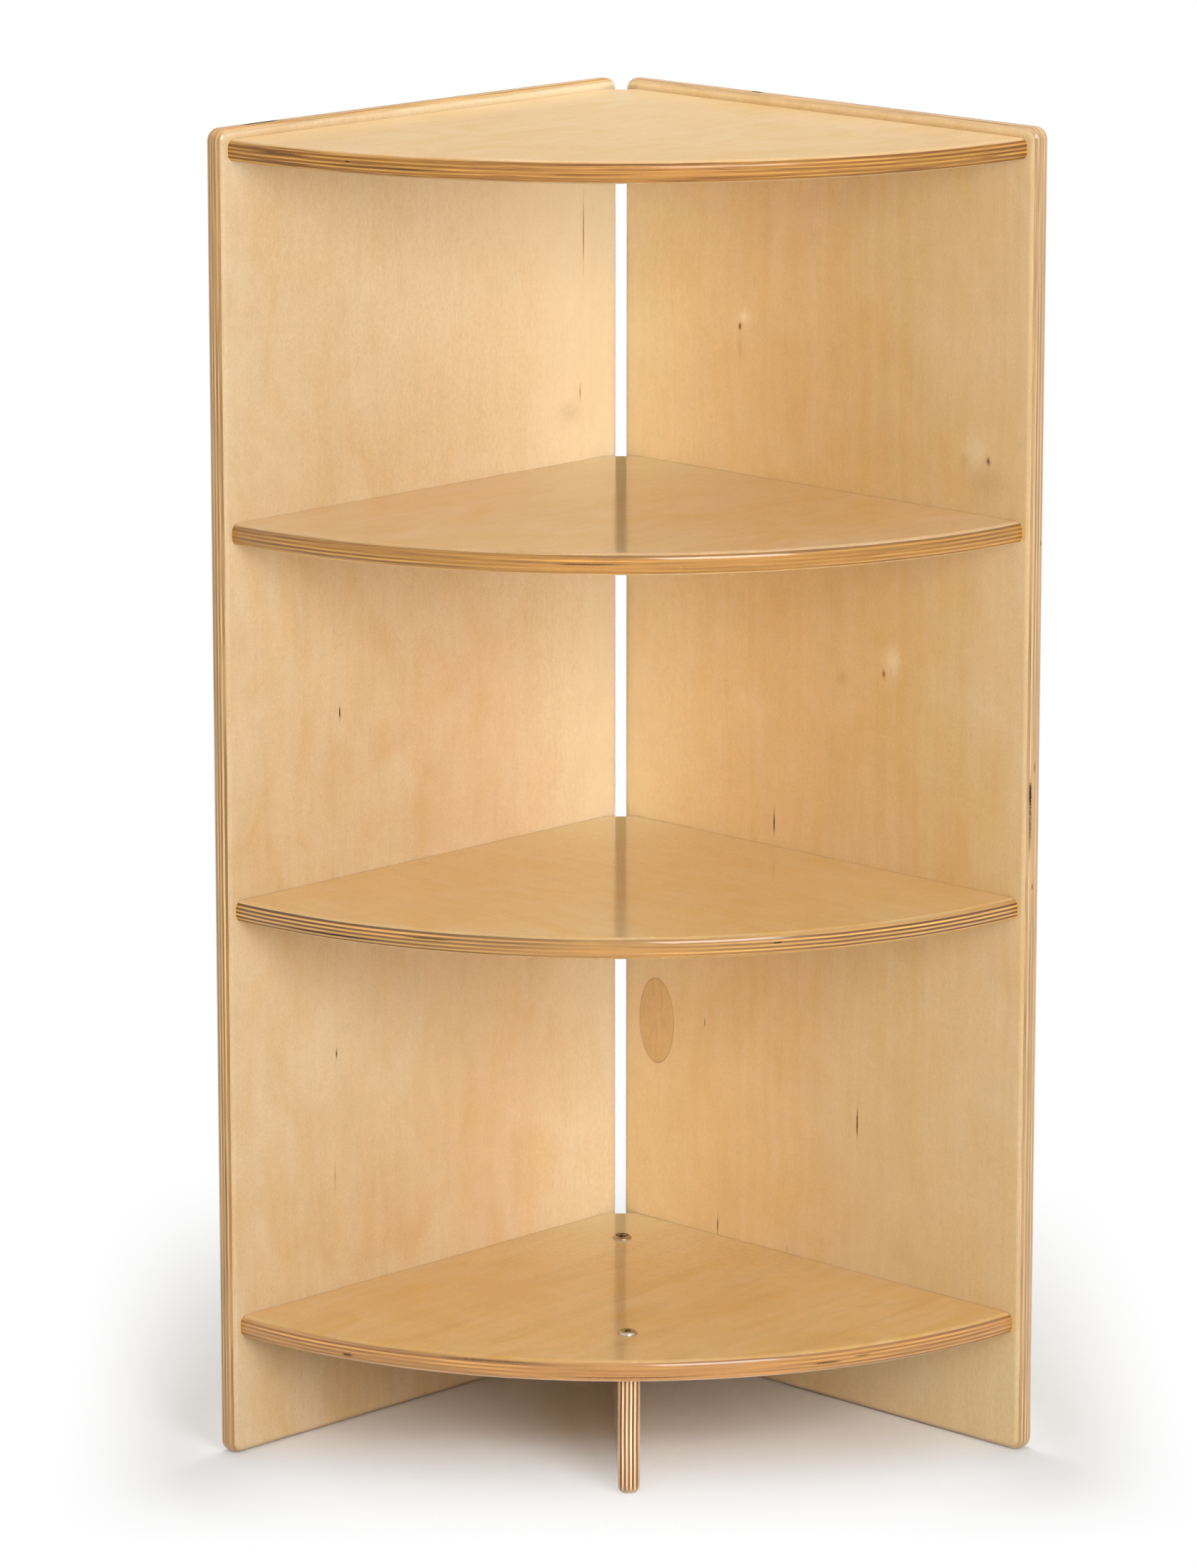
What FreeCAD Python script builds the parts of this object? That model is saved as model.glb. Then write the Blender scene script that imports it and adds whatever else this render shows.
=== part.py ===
import FreeCAD, Part
import math
import os
import re
import Sketcher
from FreeCAD import Placement, Rotation, Vector

# Corner storage unit of birch plywood: two side panels at a right angle, four quarter-round shelves bolted
# between them, and one leg on edge under the bottom shelf. Millimetres, Z up. The origin is on the floor, in
# the middle of the unit's box. The panels' inner faces would meet on an upright line, the corner line, and
# most places are measured from it: along the left panel, along the right panel, or along the diagonal.

DIMENSIONS = [
    ("board_thickness", 15, "plywood of every board"),
    ("panel_height", 914, "side panels, floor to top"),
    ("panel_reach", 381, "corner line to a panel's front edge"),
    ("corner_setback", 2.2, "corner line to a panel's back edge, which leaves the upright slot"),
    ("edge_round", 5.5, "round-over on the exposed edges"),
    ("corner_round", 9, "corners of the panels and the leg, seen square on"),
    ("shelf_front_setback", 7.8, "a panel's front edge to the shelf's front"),
    ("shelf_corner_cut", 17, "shelf's back corner cut off, along each side"),
    ("top_shelf_recess", 7, "panel top to the top shelf"),
    ("upper_shelf_height", 649, "floor to the shelf's top face"),
    ("lower_shelf_height", 390, "floor to the shelf's top face"),
    ("bottom_shelf_height", 98, "floor to the shelf's top face"),
    ("leg_front_setback", 10.7, "shelf front to the leg's front edge, on the diagonal"),
    ("leg_rear_setback", 21.5, "corner line to the leg's rear edge, on the diagonal"),
    ("leg_bolt_inset", 54.5, "leg's ends to its bolts"),
    ("rear_bolt_inset", 60, "corner line to the shelf's rear bolts"),
    ("front_bolt_inset", 73, "shelf front to the shelf's front bolts"),
    ("bolt_diameter", 6, "shank"),
    ("bolt_head_diameter", 13.5, "foot of the bevelled head"),
    ("bolt_head_top", 10.5, "flat top of the bevelled head"),
    ("bolt_head_height", 2.4, "head above the board"),
    ("bolt_head_rim", 0.6, "straight rim under the bevel"),
    ("bolt_tip_allowance", 3, "shank that stands out past the nut"),
    ("bolt_tip_chamfer", 0.8, "lead-in at the tip"),
    ("socket_width", 4, "hex socket, across flats"),
    ("socket_depth", 3, "hex socket, from the head's top"),
    ("nut_distance", 30, "joint face to the nut's axis"),
    ("nut_diameter", 10, "barrel nut"),
    ("nut_length", 11, "barrel nut, end to end"),
    ("nut_chamfer", 0.5, "barrel nut's ends"),
    ("nut_slot_width", 1.4, "driver slot that turns the nut's bore in line"),
    ("nut_slot_depth", 1.2, "driver slot"),
    ("dowel_diameter", 8, "locating dowel"),
    ("dowel_length", 30, "locating dowel, end to end"),
    ("dowel_panel_depth", 9.5, "part of the dowel in the panel"),
    ("dowel_chamfer", 1, "dowel's ends"),
    ("bolt_hole_clearance", 0.5, "hole over shank, on the diameter"),
    ("thread_clearance", 0.1, "nut's bore over shank, on the diameter"),
    ("nut_hole_clearance", 0.2, "hole over nut, on the diameter"),
    ("dowel_hole_clearance", 0.1, "hole over dowel, on the diameter"),
    ("hole_end_clearance", 0.5, "room past the end of a shank or dowel"),
    ("patch_width", 33, "oval veneer repair"),
    ("patch_length", 61.5, "oval veneer repair, upright"),
    ("patch_thickness", 1.4, "the face veneer's own thickness"),
    ("patch_distance", 35.7, "corner line to the repair's middle"),
    ("patch_height", 244, "floor to the repair's middle"),
    ("patch_gap", 0.15, "hairline joint round the repair"),
]

doc = FreeCAD.newDocument("corner_storage_unit")
sheet = doc.addObject("Spreadsheet::Sheet", "dims")
for row, (alias, size, note) in enumerate(DIMENSIONS, 1):
    sheet.set(f"A{row}", note)
    sheet.set(f"B{row}", str(size))
    sheet.setAlias(f"B{row}", alias)
doc.recompute()

# Places that several pieces share, as formulas of the sheet's names
SHELF_RADIUS = "(panel_reach - shelf_front_setback)"
CORNER_X = "-(panel_reach - board_thickness - bolt_head_height) / 2"
CORNER_Y = "(panel_reach - board_thickness - bolt_head_height) / 2"
SHELF_TOPS = {
    "top": "(panel_height - top_shelf_recess)",
    "upper": "upper_shelf_height",
    "lower": "lower_shelf_height",
    "bottom": "bottom_shelf_height",
}
SHELF_BOLTS = ["rear_bolt_inset", f"({SHELF_RADIUS} - front_bolt_inset)"]
SHELF_DOWEL = f"(({SHELF_BOLTS[0]} + {SHELF_BOLTS[1]}) / 2)"
LEG_HEIGHT = "(bottom_shelf_height - board_thickness)"
LEG_FRONT = f"({SHELF_RADIUS} - leg_front_setback)"
LEG_BOLTS = ["(leg_rear_setback + leg_bolt_inset)", f"({LEG_FRONT} - leg_bolt_inset)"]
BOLT_REACH = "(nut_distance + nut_diameter / 2 + bolt_tip_allowance)"
BOLT_LENGTH = f"(board_thickness + {BOLT_REACH})"
BOLT_HOLE = "(bolt_diameter + bolt_hole_clearance)"
DOWEL_HOLE = "(dowel_diameter + dowel_hole_clearance)"
NUT_HOLE = "(nut_diameter + nut_hole_clearance)"
NUT_HOLE_DEPTH = "((board_thickness + nut_length) / 2)"

UP = Vector(0, 0, 1)
ALONG_LEFT_PANEL = Rotation(UP, -90)
ALONG_DIAGONAL = Rotation(UP, -45)
ALONG_RIGHT_PANEL = Rotation()
TOLERANCE = 1e-6


def shelf_middle(level):
    return f"({SHELF_TOPS[level]} - board_thickness / 2)"


def on_diagonal(distance):
    return f"({distance} / sqrt(2))"


def cells(formula):
    return re.sub(r"\b[a-z]\w*\b(?!\()", lambda name: f"dims.{name.group()}", formula)


def number(formula):
    return float(sheet.evalExpression(formula))


def place(piece, x, y, z, turn):
    piece.Placement = Placement(Vector(), turn)
    piece.setExpression("Placement.Base.x", cells(x))
    piece.setExpression("Placement.Base.y", cells(y))
    piece.setExpression("Placement.Base.z", cells(z))


def new_body(label):
    body = doc.addObject("PartDesign::Body", label)
    body.Label = label
    return body


# Sketches: each one lies on one of its body's own planes, and every size in it is bound to the sheet

def new_sketch(body, name, role, offset=None):
    sketch = body.newObject("Sketcher::SketchObject", name)
    plane = next(feature for feature in body.Origin.OriginFeatures if feature.Role == role)
    sketch.AttachmentSupport = [(plane, "")]
    sketch.MapMode = "FlatFace"
    if offset:
        sketch.setExpression("AttachmentOffset.Base.z", cells(offset))
    return sketch


def bind(sketch, kind, places, formula):
    index = sketch.addConstraint(Sketcher.Constraint(kind, *places, number(formula)))
    sketch.setExpression(f"Constraints[{index}]", cells(formula))


def tie(sketch, kind, *places):
    sketch.addConstraint(Sketcher.Constraint(kind, *places))


def pin_point(sketch, line, end, across, up):
    if across == "0":
        tie(sketch, "PointOnObject", line, end, -2)
    else:
        bind(sketch, "DistanceX", (-1, 1, line, end), across)
    if up == "0":
        tie(sketch, "PointOnObject", line, end, -1)
    else:
        bind(sketch, "DistanceY", (-1, 1, line, end), up)


def closed_lines(sketch, points):
    count = len(points)
    for index, point in enumerate(points):
        sketch.addGeometry(Part.LineSegment(point, points[(index + 1) % count]), False)
    for index in range(count):
        tie(sketch, "Coincident", index, 2, (index + 1) % count, 1)


def polygon(sketch, corners):
    closed_lines(sketch, [Vector(number(across), number(up), 0) for across, up in corners])
    for line, (across, up) in enumerate(corners):
        pin_point(sketch, line, 1, across, up)


def circles(sketch, centres, diameter):
    for across, up in centres:
        middle = Vector(number(across), number(up), 0)
        index = sketch.addGeometry(Part.Circle(middle, UP, number(diameter) / 2), False)
        bind(sketch, "Diameter", (index,), diameter)
        pin_point(sketch, index, 3, across, up)


def upright_ellipse(sketch, across, up, width, length):
    middle = Vector(number(across), number(up), 0)
    top = middle + Vector(0, number(length) / 2, 0)
    side = middle + Vector(number(width) / 2, 0, 0)
    oval = sketch.addGeometry(Part.Ellipse(top, side, middle), False)
    sketch.exposeInternalGeometry(oval)
    long_axis, short_axis = oval + 1, oval + 2
    tie(sketch, "Vertical", long_axis)
    bind(sketch, "Distance", (long_axis,), length)
    bind(sketch, "Distance", (short_axis,), width)
    pin_point(sketch, oval, 3, across, up)


def centred_rectangle(sketch, width, depth):
    x, y = number(width) / 2, number(depth) / 2
    closed_lines(sketch, [Vector(-x, -y, 0), Vector(x, -y, 0), Vector(x, y, 0), Vector(-x, y, 0)])
    for line in (0, 2):
        tie(sketch, "Horizontal", line)
    for line in (1, 3):
        tie(sketch, "Vertical", line)
    tie(sketch, "Symmetric", 0, 1, 1, 2, -1, 1)
    bind(sketch, "DistanceX", (0, 1, 0, 2), width)
    bind(sketch, "DistanceY", (1, 1, 1, 2), depth)


def centred_hexagon(sketch, across_flats):
    radius = f"{across_flats} / sqrt(3)"
    first = Vector(number(radius), 0, 0)
    sides = 6
    closed_lines(sketch, [Rotation(UP, 360 / sides * turn).multVec(first) for turn in range(sides)])
    guide = sketch.addGeometry(Part.Circle(Vector(), UP, number(radius)), True)
    tie(sketch, "Coincident", guide, 3, -1, 1)
    bind(sketch, "Radius", (guide,), radius)
    for side in range(sides):
        tie(sketch, "PointOnObject", side, 1, guide)
    for side in range(1, sides):
        tie(sketch, "Equal", 0, side)
    tie(sketch, "Horizontal", 1)


def quarter_round(sketch, radius, cut):
    size, notch = number(radius), number(cut)
    quarter_turn = math.pi / 2
    sketch.addGeometry(Part.LineSegment(Vector(notch, 0, 0), Vector(size, 0, 0)), False)
    sketch.addGeometry(Part.ArcOfCircle(Part.Circle(Vector(), UP, size), 0, quarter_turn), False)
    sketch.addGeometry(Part.LineSegment(Vector(0, size, 0), Vector(0, notch, 0)), False)
    sketch.addGeometry(Part.LineSegment(Vector(0, notch, 0), Vector(notch, 0, 0)), False)
    for line in range(4):
        tie(sketch, "Coincident", line, 2, (line + 1) % 4, 1)
    tie(sketch, "Coincident", 1, 3, -1, 1)
    bind(sketch, "Radius", (1,), radius)
    pin_point(sketch, 0, 1, cut, "0")
    pin_point(sketch, 2, 2, "0", cut)
    tie(sketch, "PointOnObject", 0, 2, -1)
    tie(sketch, "PointOnObject", 2, 1, -2)


# Features

def pad(body, sketch, length, flip=False, midplane=False):
    feature = body.newObject("PartDesign::Pad", "pad")
    feature.Profile = sketch
    feature.setExpression("Length", cells(length))
    feature.Reversed = flip
    if midplane:
        feature.SideType = "Symmetric"
    doc.recompute()


def pocket(body, sketch, depth=None, flip=False, both_ways=False):
    before = body.Shape.Volume
    feature = body.newObject("PartDesign::Pocket", "pocket")
    feature.Profile = sketch
    feature.Reversed = flip
    if depth:
        feature.setExpression("Length", cells(depth))
    else:
        feature.Type = "ThroughAll"
    if both_ways:
        feature.SideType = "Symmetric"
    doc.recompute()
    if body.Shape.Volume > before - TOLERANCE:
        raise RuntimeError(f"{body.Label}: {sketch.Label} cuts nothing")


def revolve(body, sketch):
    feature = body.newObject("PartDesign::Revolution", "turned")
    feature.Profile = sketch
    feature.ReferenceAxis = (sketch, ["V_Axis"])
    doc.recompute()


def dress(body, kind, size_name, size, wanted):
    base = body.Tip
    names = [f"Edge{index}" for index, edge in enumerate(base.Shape.Edges, 1) if wanted(edge)]
    feature = body.newObject(f"PartDesign::{kind}", kind.lower())
    feature.Base = (base, names)
    feature.setExpression(size_name, cells(size))
    doc.recompute()


def round_over(body, radius, wanted):
    dress(body, "Fillet", "Radius", radius, wanted)


# Edges of a board that stands on edge, its thickness along Y

def across_board(edge):
    return edge.BoundBox.YLength > TOLERANCE


def along_face(edge):
    return not across_board(edge)


# Side panels: X runs along the panel from the corner line, the inner face is at Y = 0

def side_panel(label, turn, outward):
    body = new_body(label)
    outline = new_sketch(body, "outline", "XZ_Plane")
    polygon(outline, [
        ("corner_setback", "0"),
        ("panel_reach", "0"),
        ("panel_reach", "panel_height"),
        ("corner_setback", "panel_height"),
    ])
    pad(body, outline, "board_thickness", flip=outward)
    round_over(body, "corner_round", across_board)
    round_over(body, "edge_round", along_face)

    bolt_holes = new_sketch(body, "bolt_holes", "XZ_Plane")
    for level in SHELF_TOPS:
        circles(bolt_holes, [(bolt, shelf_middle(level)) for bolt in SHELF_BOLTS], BOLT_HOLE)
    pocket(body, bolt_holes, flip=not outward)
    dowel_holes = new_sketch(body, "dowel_holes", "XZ_Plane")
    circles(dowel_holes, [(SHELF_DOWEL, shelf_middle(level)) for level in SHELF_TOPS], DOWEL_HOLE)
    pocket(body, dowel_holes, "dowel_panel_depth + hole_end_clearance", flip=not outward)
    place(body, CORNER_X, CORNER_Y, "0", turn)
    return body


def patch_recess(body):
    recess = new_sketch(body, "patch_recess", "XZ_Plane")
    upright_ellipse(recess, "patch_distance", "patch_height",
                    "patch_width + 2 * patch_gap", "patch_length + 2 * patch_gap")
    pocket(body, recess, "patch_thickness")


def veneer_patch():
    body = new_body("veneer_patch")
    oval = new_sketch(body, "oval", "XZ_Plane")
    upright_ellipse(oval, "patch_distance", "patch_height", "patch_width", "patch_length")
    pad(body, oval, "patch_thickness", flip=True)
    place(body, CORNER_X, CORNER_Y, "0", ALONG_RIGHT_PANEL)
    return body


# Shelves: X runs along the left panel, Y along the right panel, the underside is at Z = 0

def curved_front(edge):
    return isinstance(edge.Curve, Part.Circle) and edge.BoundBox.ZLength < TOLERANCE


def shelf(level):
    body = new_body(f"{level}_shelf")
    outline = new_sketch(body, "outline", "XY_Plane")
    quarter_round(outline, SHELF_RADIUS, "shelf_corner_cut")
    pad(body, outline, "board_thickness")
    round_over(body, "edge_round", curved_front)

    half = "board_thickness / 2"
    bolt_places = [(bolt, half) for bolt in SHELF_BOLTS]
    for side, role, flip in (("left", "XZ_Plane", False), ("right", "YZ_Plane", True)):
        bolt_holes = new_sketch(body, f"{side}_bolt_holes", role)
        circles(bolt_holes, bolt_places, BOLT_HOLE)
        pocket(body, bolt_holes, f"{BOLT_REACH} + hole_end_clearance", flip)
        dowel_hole = new_sketch(body, f"{side}_dowel_hole", role)
        circles(dowel_hole, [(SHELF_DOWEL, half)], DOWEL_HOLE)
        pocket(body, dowel_hole, "dowel_length - dowel_panel_depth + hole_end_clearance", flip)
    nut_holes = new_sketch(body, "nut_holes", "XY_Plane")
    circles(nut_holes, [(bolt, "nut_distance") for bolt in SHELF_BOLTS], NUT_HOLE)
    circles(nut_holes, [("nut_distance", bolt) for bolt in SHELF_BOLTS], NUT_HOLE)
    pocket(body, nut_holes, NUT_HOLE_DEPTH, flip=True)
    place(body, CORNER_X, CORNER_Y, f"{SHELF_TOPS[level]} - board_thickness", ALONG_LEFT_PANEL)
    return body


def leg_bolt_holes(body):
    holes = new_sketch(body, "leg_bolt_holes", "XY_Plane")
    circles(holes, [(on_diagonal(bolt), on_diagonal(bolt)) for bolt in LEG_BOLTS], BOLT_HOLE)
    pocket(body, holes, flip=True)


# Leg: X runs along the diagonal from the corner line, the thickness is centred on Y = 0

def diagonal_leg():
    body = new_body("diagonal_leg")
    outline = new_sketch(body, "outline", "XZ_Plane")
    polygon(outline, [
        ("leg_rear_setback", "0"),
        (LEG_FRONT, "0"),
        (LEG_FRONT, LEG_HEIGHT),
        ("leg_rear_setback", LEG_HEIGHT),
    ])
    pad(body, outline, "board_thickness", midplane=True)
    half_height = number(LEG_HEIGHT) / 2
    round_over(body, "corner_round", lambda edge: across_board(edge) and edge.BoundBox.ZMax < half_height)
    round_over(body, "edge_round", lambda edge: along_face(edge) and edge.BoundBox.ZMin < half_height)

    bolt_holes = new_sketch(body, "bolt_holes", "XY_Plane", LEG_HEIGHT)
    circles(bolt_holes, [(bolt, "0") for bolt in LEG_BOLTS], BOLT_HOLE)
    pocket(body, bolt_holes, f"{BOLT_REACH} + hole_end_clearance")
    nut_holes = new_sketch(body, "nut_holes", "XZ_Plane", "-board_thickness / 2")
    circles(nut_holes, [(bolt, f"({LEG_HEIGHT} - nut_distance)") for bolt in LEG_BOLTS], NUT_HOLE)
    pocket(body, nut_holes, NUT_HOLE_DEPTH, flip=True)
    place(body, CORNER_X, CORNER_Y, "0", ALONG_DIAGONAL)
    return body


# Patterns of the fasteners, each made once about its own Z axis

def connector_bolt():
    body = new_body("connector_bolt")
    profile = new_sketch(body, "profile", "XZ_Plane")
    polygon(profile, [
        ("0", "0"),
        ("bolt_diameter / 2 - bolt_tip_chamfer", "0"),
        ("bolt_diameter / 2", "bolt_tip_chamfer"),
        ("bolt_diameter / 2", BOLT_LENGTH),
        ("bolt_head_diameter / 2", BOLT_LENGTH),
        ("bolt_head_diameter / 2", f"{BOLT_LENGTH} + bolt_head_rim"),
        ("bolt_head_top / 2", f"{BOLT_LENGTH} + bolt_head_height"),
        ("0", f"{BOLT_LENGTH} + bolt_head_height"),
    ])
    revolve(body, profile)
    socket = new_sketch(body, "hex_socket", "XY_Plane", f"{BOLT_LENGTH} + bolt_head_height")
    centred_hexagon(socket, "socket_width")
    pocket(body, socket, "socket_depth")
    return body


def barrel_nut():
    body = new_body("barrel_nut")
    outline = new_sketch(body, "outline", "XY_Plane")
    circles(outline, [("0", "0")], "nut_diameter")
    pad(body, outline, "nut_length")
    dress(body, "Chamfer", "Size", "nut_chamfer", lambda edge: edge.BoundBox.ZLength < TOLERANCE)
    bore = new_sketch(body, "bore", "YZ_Plane")
    circles(bore, [("0", "nut_length / 2")], "bolt_diameter + thread_clearance")
    pocket(body, bore, both_ways=True)
    slot = new_sketch(body, "driver_slot", "XY_Plane")
    centred_rectangle(slot, "2 * nut_diameter", "nut_slot_width")
    pocket(body, slot, "nut_slot_depth", flip=True)
    return body


def dowel_pin():
    body = new_body("dowel_pin")
    profile = new_sketch(body, "profile", "XZ_Plane")
    polygon(profile, [
        ("0", "0"),
        ("dowel_diameter / 2 - dowel_chamfer", "0"),
        ("dowel_diameter / 2", "dowel_chamfer"),
        ("dowel_diameter / 2", "dowel_length - dowel_chamfer"),
        ("dowel_diameter / 2 - dowel_chamfer", "dowel_length"),
        ("0", "dowel_length"),
    ])
    revolve(body, profile)
    return body


def fasteners(label, pattern, places):
    copies = []
    for x, y, z, turn in places:
        copy = doc.addObject("App::Link", f"{label}_copy")
        copy.LinkedObject = pattern
        place(copy, x, y, z, turn)
        copies.append(copy)
    group = doc.addObject("Part::Compound", label)
    group.Label = label
    group.Links = copies
    return group


def toward_front_left(distance):
    return f"{CORNER_Y} - ({distance})"


def toward_front_right(distance):
    return f"{CORNER_X} + {distance}"


def left_joint(level):
    height = shelf_middle(level)
    nut_foot = f"{height} - nut_length / 2"
    head_out = Rotation(Vector(0, 1, 0), -90)
    into_shelf = Rotation(Vector(0, 1, 0), 90)
    tip = toward_front_right(BOLT_REACH)
    nut = toward_front_right("nut_distance")
    rows = [toward_front_left(bolt) for bolt in SHELF_BOLTS]
    return [
        fasteners(f"{level}_left_bolts", bolt_pattern, [(tip, y, height, head_out) for y in rows]),
        fasteners(f"{level}_left_barrel_nuts", nut_pattern, [
            (nut, y, nut_foot, Rotation()) for y in rows]),
        fasteners(f"{level}_left_dowel", dowel_pattern, [
            (f"{CORNER_X} - dowel_panel_depth", toward_front_left(SHELF_DOWEL), height, into_shelf)]),
    ]


def right_joint(level):
    height = shelf_middle(level)
    nut_foot = f"{height} - nut_length / 2"
    head_out = Rotation(Vector(1, 0, 0), -90)
    into_shelf = Rotation(Vector(1, 0, 0), 90)
    bore_along_y = Rotation(UP, 90)
    tip = toward_front_left(BOLT_REACH)
    nut = toward_front_left("nut_distance")
    rows = [toward_front_right(bolt) for bolt in SHELF_BOLTS]
    return [
        fasteners(f"{level}_right_bolts", bolt_pattern, [(x, tip, height, head_out) for x in rows]),
        fasteners(f"{level}_right_barrel_nuts", nut_pattern, [
            (x, nut, nut_foot, bore_along_y) for x in rows]),
        fasteners(f"{level}_right_dowel", dowel_pattern, [
            (toward_front_right(SHELF_DOWEL), f"{CORNER_Y} + dowel_panel_depth", height, into_shelf)]),
    ]


def leg_joint():
    right_side = ALONG_DIAGONAL.multVec(Vector(0, 1, 0))
    nut_turn = Rotation(UP, Vector(), -right_side, "ZXY")
    tip = f"bottom_shelf_height - {BOLT_LENGTH}"
    nut_height = f"{LEG_HEIGHT} - nut_distance"
    out = on_diagonal("nut_length / 2")
    bolt_places = []
    nut_places = []
    for bolt in LEG_BOLTS:
        x = toward_front_right(on_diagonal(bolt))
        y = toward_front_left(on_diagonal(bolt))
        bolt_places.append((x, y, tip, Rotation()))
        nut_places.append((f"{x} + {out}", f"{y} + {out}", nut_height, nut_turn))
    return [
        fasteners("leg_bolts", bolt_pattern, bolt_places),
        fasteners("leg_barrel_nuts", nut_pattern, nut_places),
    ]


bolt_pattern = connector_bolt()
nut_pattern = barrel_nut()
dowel_pattern = dowel_pin()

left_panel = side_panel("left_side_panel", ALONG_LEFT_PANEL, outward=False)
right_panel = side_panel("right_side_panel", ALONG_RIGHT_PANEL, outward=True)
patch_recess(right_panel)
shelves = {level: shelf(level) for level in SHELF_TOPS}
leg_bolt_holes(shelves["bottom"])

pieces = [left_panel, right_panel, veneer_patch(), *shelves.values(), diagonal_leg(), *leg_joint()]
for level in SHELF_TOPS:
    pieces += left_joint(level)
    pieces += right_joint(level)
doc.recompute()

for item in doc.Objects:
    if {"Invalid", "Error"} & set(item.State):
        raise RuntimeError(f"{item.Label} did not build: {item.State}")
for piece in pieces:
    if piece.Shape.isNull() or not piece.Shape.isValid():
        raise RuntimeError(f"{piece.Label} has no sound shape")

os.makedirs("parts", exist_ok=True)
for piece in pieces:
    piece.Shape.exportStep(f"parts/{piece.Label}.step")
    print(f"{piece.Label}: {len(piece.Shape.Solids)} solids, {piece.Shape.Volume / 1000:.2f} cm3")
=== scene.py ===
import bmesh
import bpy
import math
import numpy as np
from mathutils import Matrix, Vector
from mathutils.geometry import tessellate_polygon


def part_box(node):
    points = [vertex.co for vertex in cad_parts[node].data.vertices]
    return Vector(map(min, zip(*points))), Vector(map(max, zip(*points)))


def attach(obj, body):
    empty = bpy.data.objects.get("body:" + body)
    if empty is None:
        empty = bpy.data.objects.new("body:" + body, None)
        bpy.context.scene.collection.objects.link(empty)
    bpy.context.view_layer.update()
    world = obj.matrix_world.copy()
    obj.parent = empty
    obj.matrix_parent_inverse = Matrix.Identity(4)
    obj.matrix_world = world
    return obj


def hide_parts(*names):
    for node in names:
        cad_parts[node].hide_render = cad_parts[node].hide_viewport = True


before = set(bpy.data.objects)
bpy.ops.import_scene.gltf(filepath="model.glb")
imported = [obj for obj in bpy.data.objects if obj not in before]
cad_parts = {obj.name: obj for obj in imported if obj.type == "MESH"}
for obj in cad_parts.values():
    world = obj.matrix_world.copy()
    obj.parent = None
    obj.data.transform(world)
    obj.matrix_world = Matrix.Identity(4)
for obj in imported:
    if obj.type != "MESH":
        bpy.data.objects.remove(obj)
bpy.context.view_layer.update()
print("frame loaded:", len(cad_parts), "nodes")

mm = 0.001
leftLow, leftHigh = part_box("left_side_panel")
rightLow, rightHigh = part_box("right_side_panel")
cornerX = leftHigh.x     # the panels' inner faces would meet on the upright line at cornerX, cornerY
cornerY = rightLow.y
boardThickness = leftHigh.x - leftLow.x
levels = ["top", "upper", "lower", "bottom"]
sides = ["left", "right"]
halfRoot = math.sqrt(0.5)


# A point given by its distance along the left panel, along the right panel and up
def fromCorner(alongLeft, alongRight, up):
    x, y, z = np.broadcast_arrays(cornerX + alongRight, cornerY - alongLeft, up)
    return np.stack([x, y, z], -1)


# A point given by its distance along the diagonal, sideways from it to the right, and up
def fromDiagonal(along, sideways, up):
    return fromCorner((along - sideways) * halfRoot, (along + sideways) * halfRoot, up)


# Collects the points and faces of one piece and makes its object
class Solid:
    def __init__(self):
        self.points = []
        self.faces = []
        self.count = 0

    def add(self, points, faces):
        self.points.append(points.reshape(-1, 3))
        self.faces += [[self.count + corner for corner in face] for face in faces]
        self.count += points.reshape(-1, 3).shape[0]

    # Quads between neighbouring rings of a grid of rings by points, each ring closed on itself
    def rings(self, grid):
        rows, cols = grid.shape[:2]
        index = np.arange(rows * cols).reshape(rows, cols)
        index = np.concatenate([index, index[:, :1]], 1)
        quads = np.stack([index[:-1, :-1], index[:-1, 1:], index[1:, 1:], index[1:, :-1]], -1)
        self.add(grid, quads.reshape(-1, 4).tolist())

    # Flat face inside one closed loop, less the loops of its holes
    def cap(self, loop, holes=()):
        loops = [loop, *holes]
        if holes:
            faces = tessellate_polygon([[Vector(point) for point in part] for part in loops])
        else:
            faces = [list(range(len(loop)))]
        self.add(np.concatenate(loops), faces)

    # Blind hole: the loop carried inwards, and a flat floor
    def blindHole(self, loop, inwards):
        self.rings(np.stack([loop, loop + inwards]))
        self.cap(loop + inwards)

    def make(self, name, finish, nodes, sharpAngle=30):
        mesh = bpy.data.meshes.new(name)
        mesh.from_pydata(np.concatenate(self.points).tolist(), [], self.faces)
        shape = bmesh.new()
        shape.from_mesh(mesh)
        bmesh.ops.remove_doubles(shape, verts=shape.verts, dist=0.0005 * mm)
        bmesh.ops.recalc_face_normals(shape, faces=shape.faces)
        shape.to_mesh(mesh)
        shape.free()
        mesh.shade_smooth()
        mesh.set_sharp_from_angle(angle=math.radians(sharpAngle))
        mesh.materials.append(finish)
        piece = bpy.data.objects.new(name, mesh)
        bpy.context.scene.collection.objects.link(piece)
        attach(piece, "root")
        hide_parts(*nodes)


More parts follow.
